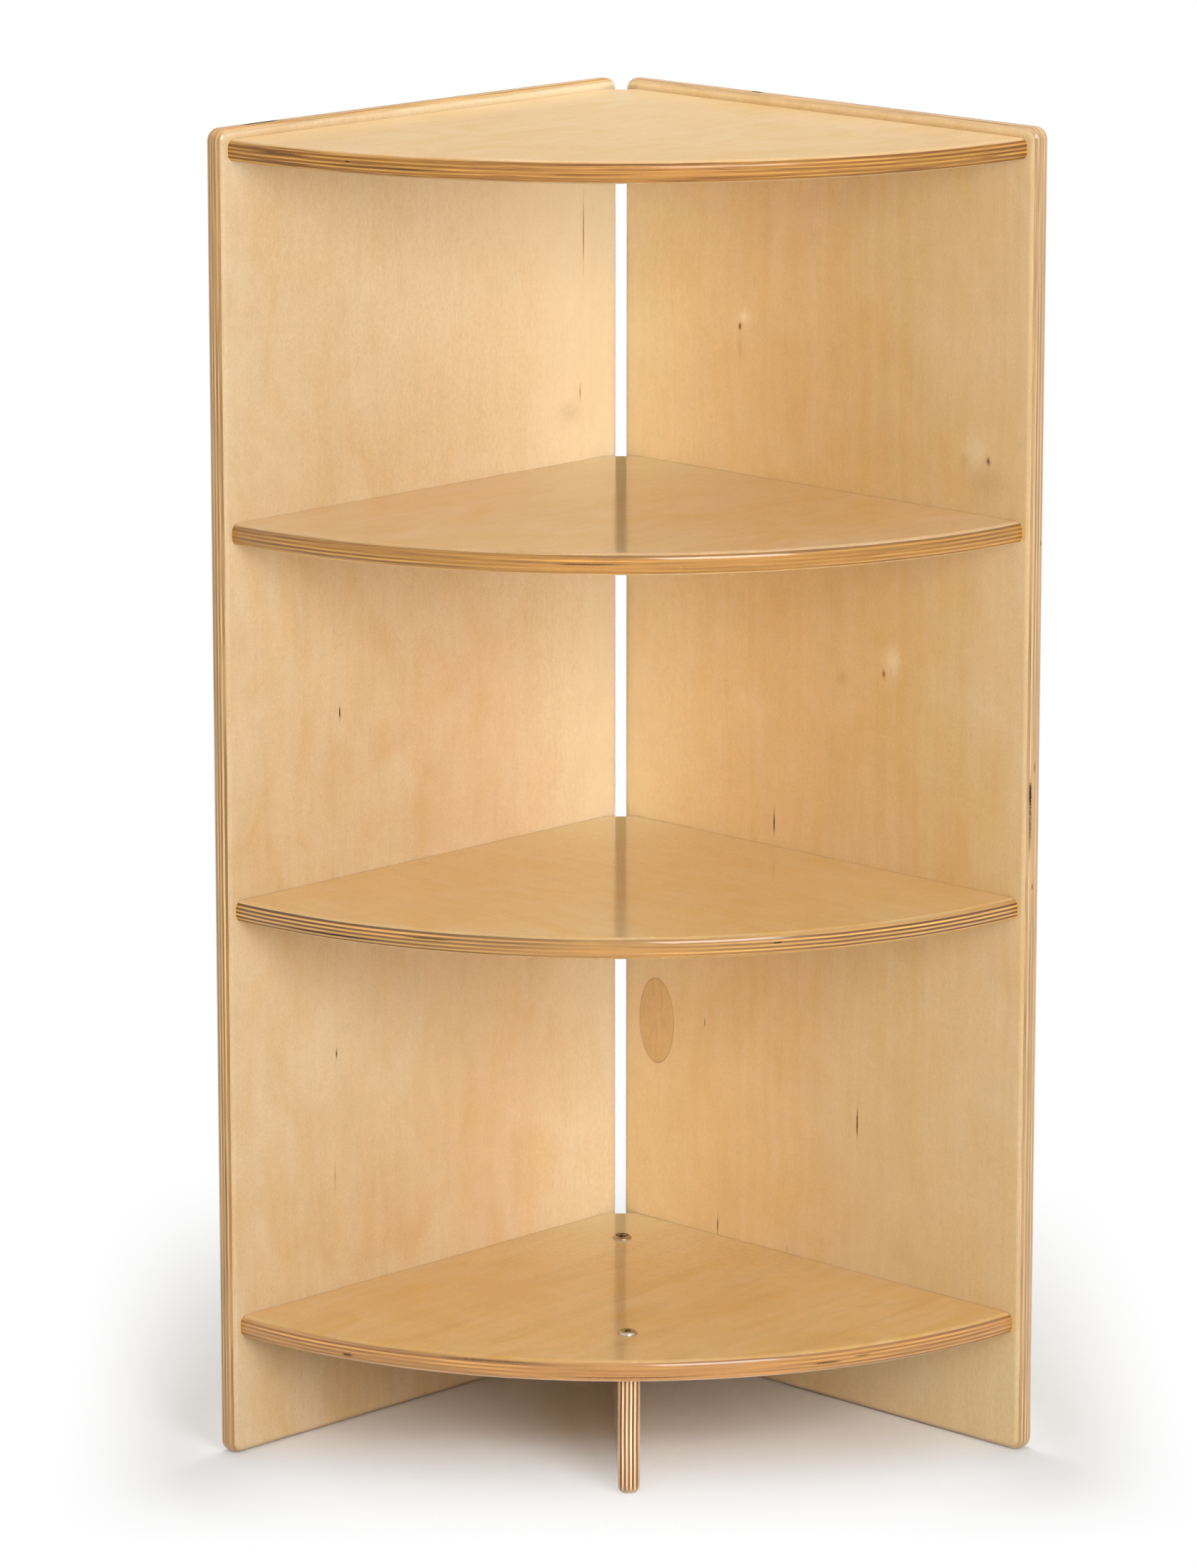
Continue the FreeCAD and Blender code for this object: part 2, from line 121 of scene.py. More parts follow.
# One socket of a node tree; arithmetic on it adds Math nodes
class Value:
    def __init__(self, finish, socket):
        self.finish = finish
        self.socket = socket

    def math(self, operation, *inputs):
        return self.finish.node("ShaderNodeMath", {"operation": operation}, dict(enumerate(inputs)))

    def __add__(self, other):
        return self.math("ADD", self, other)

    def __radd__(self, other):
        return self.math("ADD", other, self)

    def __sub__(self, other):
        return self.math("SUBTRACT", self, other)

    def __rsub__(self, other):
        return self.math("SUBTRACT", other, self)

    def __mul__(self, other):
        return self.math("MULTIPLY", self, other)

    def __rmul__(self, other):
        return self.math("MULTIPLY", other, self)

    def __truediv__(self, other):
        return self.math("DIVIDE", self, other)

    def __pow__(self, other):
        return self.math("POWER", self, other)

    def __neg__(self):
        return self.math("MULTIPLY", self, -1.0)

    def __abs__(self):
        return self.math("ABSOLUTE", self)

    def floor(self):
        return self.math("FLOOR", self)

    def fraction(self):
        return self.math("FRACT", self)

    def square(self):
        return self.math("MULTIPLY", self, self)

    def most(self, other):
        return self.math("MAXIMUM", self, other)

    def least(self, other):
        return self.math("MINIMUM", self, other)

    def bell(self):
        return self.math("EXPONENT", -self)

    # 0 below low, 1 above high, and a smooth step between
    def step(self, low, high):
        inputs = {"Value": self, "From Min": low, "From Max": high, "To Min": 0.0, "To Max": 1.0}
        return self.finish.node("ShaderNodeMapRange", {"interpolation_type": "SMOOTHSTEP"}, inputs)


# A node tree under construction
class Finish:
    def __init__(self, owner):
        self.owner = owner
        owner.use_nodes = True
        self.tree = owner.node_tree
        self.tree.nodes.clear()

    # Any node: its type, its settings, then the values or links of its sockets
    def node(self, kind, settings=None, inputs=None, output=0):
        made = self.tree.nodes.new(kind)
        for name, value in (settings or {}).items():
            setattr(made, name, value)
        for name, value in (inputs or {}).items():
            if isinstance(value, Value):
                self.tree.links.new(value.socket, made.inputs[name])
            else:
                made.inputs[name].default_value = value
        return Value(self, made.outputs[output]) if made.outputs else made

    def mix(self, factor, first, second):
        return self.node("ShaderNodeMix", {"data_type": "RGBA"}, {0: factor, 6: first, 7: second}, 2)

    def vector(self, operation, *inputs, output=0):
        return self.node("ShaderNodeVectorMath", {"operation": operation}, dict(enumerate(inputs)), output)

    def combine(self, x, y, z):
        return self.node("ShaderNodeCombineXYZ", None, {0: x, 1: y, 2: z})

    def noise(self, point, detail=2.0, roughness=0.5, distortion=0.0, output=0):
        inputs = {"Vector": point, "Scale": 1.0, "Detail": detail, "Roughness": roughness}
        inputs["Distortion"] = distortion
        return self.node("ShaderNodeTexNoise", None, inputs, output)

    # How far a vector reaches along a direction
    def reach(self, vector, direction):
        return self.vector("DOT_PRODUCT", vector, direction, output="Value")

    def coordinates(self, output):
        return self.node("ShaderNodeTexCoord", None, None, output)

    # A vector or a colour times a factor
    def scaled(self, vector, factor):
        start = vector if isinstance(vector, Value) else vector[:3]
        return self.node("ShaderNodeVectorMath", {"operation": "SCALE"}, {"Vector": start, "Scale": factor})

    # The finished surface: one shader, with a bump from a relief of that distance in metres
    def surface(self, relief, strength, distance, inputs):
        inputs = dict(inputs)
        bump = {"Strength": strength, "Distance": distance, "Height": relief}
        inputs["Normal"] = self.node("ShaderNodeBump", None, bump)
        shader = self.node("ShaderNodeBsdfPrincipled", None, inputs)
        self.node("ShaderNodeOutputMaterial", None, {"Surface": shader})
        return self.owner


# A colour as it is seen on screen, 0 to 255, turned into the linear values that shaders take
def paint(red, green, blue):
    seen = np.array([red, green, blue]) / 255
    linear = np.where(seen > 0.04045, ((seen + 0.055) / 1.055) ** 2.4, seen / 12.92)
    return (*linear.tolist(), 1.0)


# Birch plywood, cut from the solid. The pattern reads three distances in millimetres: along the face grain,
# across it, and the depth below the show face. The face veneer is clouds and fibre lines drawn out along
# the grain; on the edges eleven plies alternate long grain and end grain, told apart by which way the
# surface faces.
plyLook = {
    "plies": 11, "waver": 0.5, "glue": 0.16, "void": paint(48, 26, 10), "stain": paint(122, 74, 28),
    "longStreaks": 1.0, "longLot": 0.9, "endStreaks": 1.0, "endLot": 1.2, "endGrit": 0.5,
    "outerStreaks": 0.7, "outerShade": 0.08, "outerEnd": 0.5,
    "underlinePly": 1.5, "underlineHeight": 0.55,
    "ragged": (1.2, 1.6), "markDepth": (3.0, 5.0), "sheetDepth": (7.0, 8.0),
    "seam": 0.35, "seamCore": 0.4, "joint": 0.6, "jointCore": 0.5,
    "roughness": 0.42, "byFibres": 0.2, "byEdge": 0.1, "coatRoughness": 0.11,
    "bump": 0.25, "bumpDepth": 0.4 * mm,
}
reliefShare = {"fibres": 0.5, "pores": 0.5, "streaks": 1.5, "gap": 6.0, "glue": 0.5}
# Patterns of the face veneer: the length of each along the grain and across it in millimetres, its own place
# in the noise, and the noise's detail, roughness and distortion
veneerWaves = {
    "drift": (280, 170, 0.0, 1.0, 0.5, 0.0),
    "wander": (90, 70, 0.7, 1.0, 0.5, 0.0),
    "clouds": (64, 40, 1.3, 3.0, 0.55, 0.8),
    "bands": (700, 9, 3.1, 3.0, 0.6, 0.0),
    "ripple": (7, 24, 5.7, 2.0, 0.6, 0.0),
    "flecks": (9, 5, 6.6, 2.0, 0.5, 0.0),
    "fibres": (18, 0.8, 7.9, 2.0, 0.6, 0.0),
    "pores": (12, 0.6, 9.2, 1.0, 0.5, 0.0),
    "speckle": (1.4, 1.1, 4.4, 1.0, 0.5, 0.0),
    "mottle": (34, 15, 12.4, 3.0, 0.6, 1.2),
}
flameNoise = {"place": 11.0, "detail": 2.0, "roughness": 0.45}
# Patterns of the plies: the length of each along the board and its height through the board in millimetres,
# its own place in the noise, and the noise's detail and roughness
plyWaves = {
    "waver": (38, 1.0, 2.2, 2.0, 0.5),
    "even": (60, 7.0, 30.0, 2.0, 0.5),
    "streaks": (46, 0.55, 0.0, 3.0, 0.6),
    "grit": (1.1, 0.4, 0.0, 1.0, 0.7),
    "stain": (85, 1.5, 20.0, 3.0, 0.6),
    "gap": (27, 1.0, 40.0, 2.0, 0.5),
}
lotLength = 150.0                                           # how far one lot of veneer runs
lotStep = 3.7                                               # one ply's lot to the next, in the noise
gapStep = 7.9
# From where to where each pattern's noise, or place in the ply, fades in
fadeIn = {
    "flecks": (0.6, 0.78), "pores": (0.65, 0.82), "contour": (0.6, 1.0), "slope": (0.02, 0.5),
    "even": (0.4, 0.62), "stain": (0.47, 0.68), "gap": (0.75, 0.79), "middle": (0.15, 0.5),
    "glue": (0.8, 1.0),
}
markWobble = {"length": 4.0, "width": 2.6, "share": 1.2}    # the marks' ragged outlines
otherSheet = 23.0                                           # the far face's place in the noise
mottleDrift = 68.0                                          # millimetres that the mottle wanders


def birchPlywood(name, look):
    f = Finish(bpy.data.materials.new(name))
    place = f.scaled(f.vector("SUBTRACT", f.coordinates("Object"), look["origin"]), 1 / mm)
    normal = f.coordinates("Normal")
    a = f.reach(place, look["along"])
    b = f.reach(place, look["across"])
    depth = f.reach(place, look["through"])
    facesAlong = f.reach(normal, look["along"]).square()
    facesAcross = f.reach(normal, look["across"]).square()
    seed = look["seed"]

    # Face veneer; the far face is another sheet, without the show face's marks
    show = 1.0 - depth.step(*plyLook["markDepth"])
    sheet = seed + depth.step(*plyLook["sheetDepth"]) * otherSheet

    def waves(pattern, along, across):
        length, width, offset, detail, roughness, distortion = veneerWaves[pattern]
        point = f.combine(along / length, across / width, sheet + offset)
        return f.noise(point, detail, roughness, distortion)

    drift = waves("drift", a, b) - 0.5
    wander = waves("wander", a, b) - 0.5
    sway = b + wander * look["sway"]
    clouds = waves("clouds", a, sway) - 0.5
    bands = waves("bands", a, sway) - 0.5
    ripple = waves("ripple", a, b) - 0.5
    flecks = waves("flecks", a, b).step(*fadeIn["flecks"])
    fibres = waves("fibres", a, sway) - 0.5
    pores = waves("pores", a, sway).step(*fadeIn["pores"])
    speckle = waves("speckle", a, b) - 0.5
    mottle = waves("mottle", a + wander * mottleDrift, sway) - 0.5
    warmth = 0.5 + drift * look["drift"] + clouds * look["clouds"] + bands * look["bands"]
    face = f.mix(warmth.least(1.0).most(0.0), look["pale"], look["warm"])
    tone = 1.0 + ripple * look["ripple"] + flecks * look["flecks"] + fibres * look["fibres"]
    tone = tone + speckle * look["speckle"] + mottle * look["mottle"] - pores * look["pores"]

    # Contour lines of the peeled veneer
    point = f.combine(a / look["flameLength"], b / look["flameWidth"], sheet + flameNoise["place"])
    height = f.noise(point, flameNoise["detail"], flameNoise["roughness"])
    contour = abs((height * look["flames"]).fraction() - 0.5) * 2.0
    tone = tone - contour.step(*fadeIn["contour"]) * look["flameDepth"]
    face = f.scaled(face, tone)

    # Knots, streaks and pale spots, each a soft oval, some of them painted light; hairlines round the oval
    # repair, and painted shade as a dark hairline at the joints
    wobble = f.noise(f.combine(a / markWobble["length"], b / markWobble["width"], sheet), output="Color")
    wobble = f.scaled(f.vector("SUBTRACT", wobble, (0.5, 0.5, 0.5)), markWobble["share"])
    wobbleAlong = f.reach(wobble, (1, 0, 0))
    wobbleAcross = f.reach(wobble, (0, 1, 0))
    for along, across, length, width, strength, colour in look["marks"]:
        fromMiddle = ((a - along) / length + wobbleAlong).square()
        fromMiddle = fromMiddle + ((b - across) / width + wobbleAcross).square()
        face = f.mix(fromMiddle.bell() * show * strength, face, colour)
    for along, across, length, width, line in look["seams"]:
        ring = (((a - along) / length).square() + ((b - across) / width).square()) ** 0.5
        hairline = 1.0 - (abs(ring - 1.0) * width).step(line * plyLook["seamCore"], line)
        face = f.mix(hairline * show * (plyLook["seam"] + mottle), face, amber)
    # Painted shade: a dark hairline on the shelf where it meets each panel
    for direction, line in look["joints"]:
        hairline = 1.0 - f.reach(place, direction).step(line * plyLook["jointCore"], line)
        face = f.mix(hairline * plyLook["joint"], face, amber)

    # Noise that is as long along the face grain as across it, for the plies
    def layers(pattern, level, start=seed):
        length, height, offset, detail, roughness = plyWaves[pattern]
        point = f.combine(a / length, b / length, level / height + (start + offset))
        return f.noise(point, detail, roughness)

    plies = plyLook["plies"]
    waver = layers("waver", 0.0) - 0.5
    ply = (depth + waver * plyLook["waver"]) * (plies * mm / boardThickness)
    index = ply.floor().most(0.0).least(plies - 1.0)
    within = ply.fraction()
    odd = (index * 0.5).fraction() * 2.0
    share = facesAlong / (facesAlong + facesAcross + 0.0001)
    endGrain = share + odd * (1.0 - share * 2.0)
    slope = (facesAlong + facesAcross).step(*fadeIn["slope"])
    even = layers("even", depth).step(*fadeIn["even"]) * look["even"]
    endGrain = endGrain + (0.5 - endGrain) * even
    lot = f.noise(f.combine(index * lotStep + seed, a / lotLength, b / lotLength), 1.0) - 0.5
    streaks = layers("streaks", depth) - 0.5
    grit = layers("grit", depth, 0.0) - 0.5
    longTone = 1.0 + streaks * plyLook["longStreaks"] + lot * plyLook["longLot"]
    endTone = 1.0 + grit * plyLook["endGrit"] + streaks * plyLook["endStreaks"] + lot * plyLook["endLot"]
    end = f.scaled(look["endGrain"], endTone)
    inner = f.mix(endGrain * slope, f.scaled(look["longGrain"], longTone), end)
    stain = layers("stain", depth).step(*fadeIn["stain"])
    inner = f.mix(stain * look["stain"], inner, plyLook["stain"])

    # Open joints in the plies: a few at random, and those of the photograph with ragged edges
    gap = layers("gap", index * gapStep).step(*fadeIn["gap"])
    gap = gap * (abs(within - 0.5) * -2.0 + 1.0).step(*fadeIn["middle"])
    byStreaks, byGrit = plyLook["ragged"]
    ragged = depth + streaks * byStreaks + grit * byGrit
    for along, across, level, length, height, strength in look["voids"]:
        fromMiddle = (((a - along).square() + (b - across).square()) / length ** 2).square()
        fromMiddle = fromMiddle + ((ragged - level) / height).square()
        gap = gap.most(fromMiddle.bell() * strength)
    gap = gap.least(1.0)
    inner = f.mix(gap * slope, inner, plyLook["void"])
    glue = (abs(within - 0.5) * 2.0).step(*fadeIn["glue"])
    inner = f.scaled(inner, 1.0 - glue * (plyLook["glue"] + lot).most(0.0))
    underline = ((ply - plyLook["underlinePly"]) / plyLook["underlineHeight"]).square().bell()
    inner = f.scaled(inner, 1.0 - underline * look["underline"])
    outerTone = 1.0 + slope * (streaks * plyLook["outerStreaks"] - plyLook["outerShade"])
    outer = f.mix(endGrain * slope * plyLook["outerEnd"], f.scaled(face, outerTone), end)
    isInner = index.least(plies - 1.0 - index).least(1.0)

    print("finish:", name)
    deep = streaks * reliefShare["streaks"] - gap * reliefShare["gap"] - glue * reliefShare["glue"]
    relief = fibres * reliefShare["fibres"] - pores * reliefShare["pores"] + isInner * deep
    rough = plyLook["roughness"] + fibres * plyLook["byFibres"] + isInner * slope * plyLook["byEdge"]
    return f.surface(relief, plyLook["bump"], plyLook["bumpDepth"], {
        "Base Color": f.mix(isInner, outer, inner),
        "Roughness": rough,
        "IOR": 1.45, "Specular IOR Level": 0.25,
        "Coat Weight": look["coat"] * (1.0 - gap * slope * isInner),
        "Coat Roughness": plyLook["coatRoughness"], "Coat IOR": 1.5,
    })


dark = paint(78, 44, 18)
brown = paint(116, 68, 30)
amber = paint(150, 98, 46)
rust = paint(146, 84, 38)
olive = paint(172, 132, 74)
cream = paint(242, 232, 194)
paintedLightStraw = paint(252, 240, 198)
plainFace = {
    "sway": 14.0, "drift": 0.8, "clouds": 1.3, "bands": 0.6, "ripple": 0.06, "flecks": 0.02,
    "fibres": 0.05, "speckle": 0.2, "mottle": 0.08, "pores": 0.06,
    "flames": 5.0, "flameLength": 260.0, "flameWidth": 60.0, "flameDepth": 0.02,
    "stain": 0.4, "even": 0.7, "underline": 0.15, "coat": 1.0,
    "marks": [], "seams": [], "joints": [], "voids": [],
}


# Profile over a board's edge: inset from the outline and depth below the show face, as a flat rim,
# a quarter arc, the straight edge and the arc back to the far face
def roundOver(radius, thickness, steps, rim):
    turn = np.linspace(0, math.pi / 2, steps + 1)
    inset = np.concatenate([[radius + rim], radius * (1 - np.sin(turn))])
    depth = np.concatenate([[0.0], radius * (1 - np.cos(turn))])
    return np.concatenate([inset, inset[::-1]]), np.concatenate([depth, thickness - depth[::-1]])


# Corner arcs of a rectangle: a point of the outline drawn in by an inset is its arc's centre plus the
# arc's direction times the radius less the inset
def cornerArcs(low, high, radius, starts, steps):
    turn = np.radians(np.array(starts)[:, None] + np.linspace(0, 90, steps + 1)).ravel()
    direction = np.stack([np.cos(turn), np.sin(turn)], -1)
    middle = (np.array(low) + np.array(high)) / 2
    reach = (np.array(high) - np.array(low)) / 2 - radius
    quarter = np.repeat(np.radians(np.array(starts) + 45.0), steps + 1)
    centre = middle + reach * np.sign(np.stack([np.cos(quarter), np.sin(quarter)], -1))
    return centre, direction


def oval(halfWidth, halfHeight, steps):
    turn = np.linspace(0, 2 * math.pi, steps, endpoint=False)
    return halfWidth * np.cos(turn), halfHeight * np.sin(turn)


# Side panels: a rectangle with rounded corners, its outline carried over the round-over profile
panelShape = {"edgeRound": 5.5 * mm, "cornerRound": 9 * mm, "rim": 0.4 * mm,
              "roundSteps": 12, "cornerSteps": 12}
patchShape = {"along": 35.7 * mm, "up": 244 * mm, "halfWidth": 16.5 * mm, "halfHeight": 30.75 * mm,
              "thickness": 1.4 * mm, "gap": 0.15 * mm, "ease": 0.12 * mm, "steps": 160}


def panelRings(low, high):
    shape = panelShape
    inset, depth = roundOver(shape["edgeRound"], boardThickness, shape["roundSteps"], shape["rim"])
    centre, direction = cornerArcs(low, high, shape["cornerRound"], (-90, 0, 90, 180), shape["cornerSteps"])
    outline = centre + (shape["cornerRound"] - inset)[:, None, None] * direction
    return outline[..., 0], outline[..., 1], depth[:, None]


def leftSidePanel(finish):
    along, up, depth = panelRings((cornerY - leftHigh.y, leftLow.z), (cornerY - leftLow.y, leftHigh.z))
    grid = fromCorner(along, -depth, up)
    solid = Solid()
    solid.rings(grid)
    solid.cap(grid[0])
    solid.cap(grid[-1])
    solid.make("left_side_panel_board", finish, ["left_side_panel"])


def rightSidePanel(finish):
    along, up, depth = panelRings((rightLow.x - cornerX, rightLow.z), (rightHigh.x - cornerX, rightHigh.z))
    grid = fromCorner(-depth, along, up)
    patch = patchShape
    gap = patch["gap"]
    across, height = oval(patch["halfWidth"] + gap, patch["halfHeight"] + gap, patch["steps"])
    recess = fromCorner(0.0, patch["along"] + across, patch["up"] + height)
    solid = Solid()
    solid.rings(grid)
    solid.cap(grid[0], [recess])
    solid.cap(grid[-1])
    solid.blindHole(recess, np.array([0, patch["thickness"], 0]))
    solid.make("right_side_panel_board", finish, ["right_side_panel"])


# Oval repair: an ellipse carried down its edge, which is eased at the face
def veneerPatch(finish):
    patch = patchShape
    ease = patch["ease"]
    inset = np.array([3 * ease, ease, 0.4 * ease, 0.0, 0.0])
    depth = np.array([0.0, 0.0, 0.3 * ease, ease, patch["thickness"]])
    across, height = oval(1.0, 1.0, patch["steps"])
    widths = (patch["halfWidth"] - inset)[:, None] * across
    heights = (patch["halfHeight"] - inset)[:, None] * height
    grid = fromCorner(-depth[:, None], patch["along"] + widths, patch["up"] + heights)
    solid = Solid()
    solid.rings(grid)
    solid.cap(grid[0])
    solid.cap(grid[-1])
    solid.make("oval_veneer_repair", finish, ["veneer_patch"])


# Shelves: a quarter round with its back corner cut off. Each ring of the outline lies at one depth; its front
# is drawn in by the round-over and its straight sides by a small eased edge.
shelfShape = {"radius": 373.2 * mm, "cornerCut": 17 * mm, "edgeRound": 5.5 * mm, "ease": 0.35 * mm,
              "rim": 0.4 * mm, "roundSteps": 12, "frontSteps": 120, "nutClearance": 0.1 * mm,
              "nutHoleDepth": 13 * mm, "holeSteps": 48}


def circle(centre, radius, steps, first, second):
    turn = np.linspace(0, 2 * math.pi, steps, endpoint=False)[:, None]
    return np.array(centre) + radius * (np.cos(turn) * np.array(first) + np.sin(turn) * np.array(second))


def nutHoles(level, up):
    holes = []
    for side in sides:
        low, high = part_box(f"{level}_{side}_barrel_nuts")
        radius = min(high.x - low.x, high.y - low.y) / 2
        for x, y in ((low.x + radius, high.y - radius), (high.x - radius, low.y + radius)):
            holes.append(circle((x, y, up), radius + shelfShape["nutClearance"], shelfShape["holeSteps"],
                                (1, 0, 0), (0, 1, 0)))
    return holes


def quarterShelf(level, finish):
    shape = shelfShape
    low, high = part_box(f"{level}_shelf")
    inset, depth = roundOver(shape["edgeRound"], boardThickness, shape["roundSteps"], shape["rim"])
    fromFace = np.minimum(depth, boardThickness - depth)
    sideInset = np.maximum(shape["ease"] - fromFace, 0.0)
    sideInset[[0, -1]] += shape["rim"]
    radius = (shape["radius"] - inset)[:, None]
    start = np.arcsin(sideInset[:, None] / radius)
    turn = start + (math.pi / 2 - 2 * start) * np.linspace(0, 1, shape["frontSteps"] + 1)
    cut = (shape["cornerCut"] + math.sqrt(2) * sideInset - sideInset)[:, None]
    side = sideInset[:, None]
    alongLeft = np.concatenate([radius * np.cos(turn), side, cut], 1)
    alongRight = np.concatenate([radius * np.sin(turn), cut, side], 1)
    grid = fromCorner(alongLeft, alongRight, high.z - depth[:, None])
    holes = nutHoles(level, low.z)
    solid = Solid()
    solid.rings(grid)
    solid.cap(grid[0])
    solid.cap(grid[-1], holes)
    for hole in holes:
        solid.blindHole(hole, np.array([0, 0, shape["nutHoleDepth"]]))
    solid.make(f"{level}_shelf_board", finish, [f"{level}_shelf"])


# Leg: a board on edge along the diagonal, its outline square at the top and rounded at the bottom
legShape = {"front": 362.5 * mm, "rear": 21.5 * mm, "edgeRound": 5.5 * mm, "cornerRound": 9 * mm,
            "roundSteps": 12, "cornerSteps": 12, "rim": 0.4 * mm, "holeInset": 54.5 * mm, "holeDrop": 30 * mm,
            "holeRadius": 5.1 * mm, "holeDepth": 13 * mm, "holeSteps": 48}


def diagonalLeg(finish):
    shape = legShape
    low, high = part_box("diagonal_leg")
    inset, depth = roundOver(shape["edgeRound"], boardThickness, shape["roundSteps"], shape["rim"])
    centre, direction = cornerArcs((shape["rear"], 0.0), (shape["front"], high.z), shape["cornerRound"],
                                   (180, 270), shape["cornerSteps"])
    outline = centre + (shape["cornerRound"] - inset)[:, None, None] * direction
    rear = np.stack([shape["rear"] + inset, np.full_like(inset, high.z)], -1)[:, None]
    front = np.stack([shape["front"] - inset, np.full_like(inset, high.z)], -1)[:, None]
    outline = np.concatenate([rear, outline, front], 1)
    sideways = depth[:, None] - boardThickness / 2
    grid = fromDiagonal(outline[..., 0], sideways, outline[..., 1])
    holes = []
    for along in (shape["rear"] + shape["holeInset"], shape["front"] - shape["holeInset"]):
        centre = fromDiagonal(along, boardThickness / 2, high.z - shape["holeDrop"])
        holes.append(circle(centre, shape["holeRadius"], shape["holeSteps"],
                            (halfRoot, -halfRoot, 0), (0, 0, 1)))
    solid = Solid()
    solid.rings(grid)
    solid.cap(grid[0])
    solid.cap(grid[-1], holes)
    for hole in holes:
        solid.blindHole(hole, np.array([-halfRoot, -halfRoot, 0]) * shape["holeDepth"])
    solid.make("diagonal_leg_board", finish, ["diagonal_leg"])


# Finishes of the panels. Each mark gives its place along and across the grain, its length and width in
# millimetres, its strength and colour; each void its place, depth, length, height and strength.
cornerFoot = (cornerX, cornerY, 0.0)
leftFace = {
    **plainFace, "origin": cornerFoot, "along": (0, 0, 1), "across": (0, -1, 0), "through": (-1, 0, 0),
    "seed": 3.0, "pale": paint(219, 194, 157), "warm": paint(209, 171, 119),
    "longGrain": paint(220, 179, 118), "endGrain": paint(166, 117, 58), "stain": 0.25,
    "speckle": 0.26, "clouds": 1.5, "mottle": 0.1, "pores": 0.1,
    "marks": [
        (880, 90, 260, 200, 0.42, cream),
        (240, 200, 120, 170, 0.12, cream),
        # Long pale stripe along the slot edge: painted light
        (500, 10, 700, 75, 0.42, cream),
        (809, 37.6, 19, 0.45, 1.4, amber),
        (697, 41.0, 4.5, 0.7, 0.8, amber),
        (684, 50.0, 7, 9, 0.22, amber),
        (505, 275, 3.4, 0.5, 2.5, dark),
        (266, 280.5, 2.6, 0.6, 1.3, dark),
        (179, 283, 8, 0.4, 0.6, amber),
    ],
    "voids": [(914, 336, 8.0, 15, 1.8, 2.0)],
}
rightFace = {
    **plainFace, "origin": cornerFoot, "along": (0, 0, 1), "across": (1, 0, 0), "through": (0, 1, 0),
    "seed": 17.0, "pale": paint(221, 191, 144), "warm": paint(215, 176, 113), "bands": 1.0, "pores": 0.16,
    "longGrain": paint(216, 180, 130), "endGrain": paint(180, 138, 90), "stain": 0.15,
    "marks": [
        # Long pale stripe along the slot edge: painted light
        (500, 10, 700, 60, 0.3, cream),
        (760, 60, 130, 110, 0.08, cream),
        (40, 220, 45, 190, 0.3, cream),
        (190, 220, 130, 190, 0.16, cream),
        (759, 118, 5, 4, 0.5, cream),
        (752, 114, 2.2, 1.1, 1.6, amber),
        (738, 114, 9, 2, 0.25, amber),
        (690, 332, 12, 12, 0.3, cream),
        (672, 340, 12, 16, 0.28, olive),
        (686, 342.5, 3.2, 2.0, 0.55, amber),
        (686, 342.5, 1.7, 1.1, 1.3, brown),
        (684, 321, 5, 3, 0.3, olive),
        (519, 211, 4.5, 4.5, 0.35, olive),
        (537, 258, 9, 7, 0.4, cream),
        (527, 250, 3.0, 1.5, 0.5, amber),
        (527, 250, 1.9, 0.8, 1.2, rust),
        (407, 148.5, 6.5, 0.5, 2.0, dark),
        (251, 82.7, 2.8, 0.4, 1.0, dark),
        (205, 228.7, 7.2, 0.5, 2.0, dark),
        (105, 96, 5.5, 0.45, 1.5, dark),
        (101, 163, 3.5, 0.4, 0.5, amber),
    ],
    "seams": [(244, 35.7, 30.9, 16.65, 0.5)],
    "voids": [
        (448, 376, 3.55, 24, 0.6, 1.1),
        (463, 376, 3.5, 9, 0.8, 1.6),
        (481, 376, 6.95, 5.0, 0.6, 2.0),
        (914, 122, 8.0, 4.5, 1.8, 2.0),
    ],
}
leftSidePanel(birchPlywood("birch_left_panel", leftFace))
rightSidePanel(birchPlywood("birch_right_panel", rightFace))


